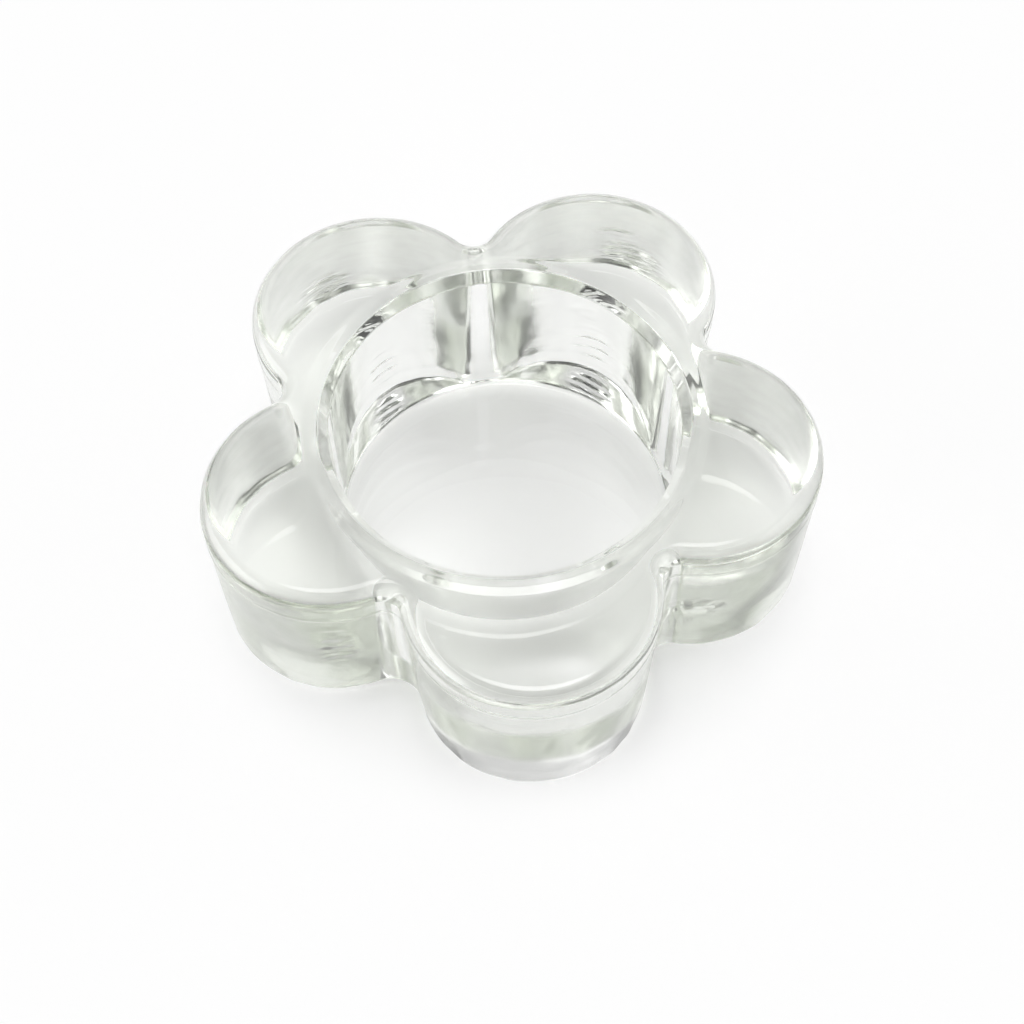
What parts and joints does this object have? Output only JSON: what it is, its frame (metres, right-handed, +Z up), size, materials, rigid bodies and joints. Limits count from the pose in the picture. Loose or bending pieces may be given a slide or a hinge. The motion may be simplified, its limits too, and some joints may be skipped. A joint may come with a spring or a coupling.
{
  "type": "tea light holder",
  "caption": "Clear solid glass tea light holder: a low flower with rounded petals about a round open well.",
  "frame": {"origin": "on the flower's axis, at the plane of the flat base", "axes": "+Z up along the well's axis, out of its mouth; -Y towards the tip of the front petal; +X to the right"},
  "size_m": [0.0738, 0.0717, 0.0245],
  "materials": {
    "clear_glass": "fire-polished clear pressed glass with a faint grey-green cast"
  },
  "bodies": {
    "root": {"glass_flower": "clear_glass"}
  },
  "joints": []
}
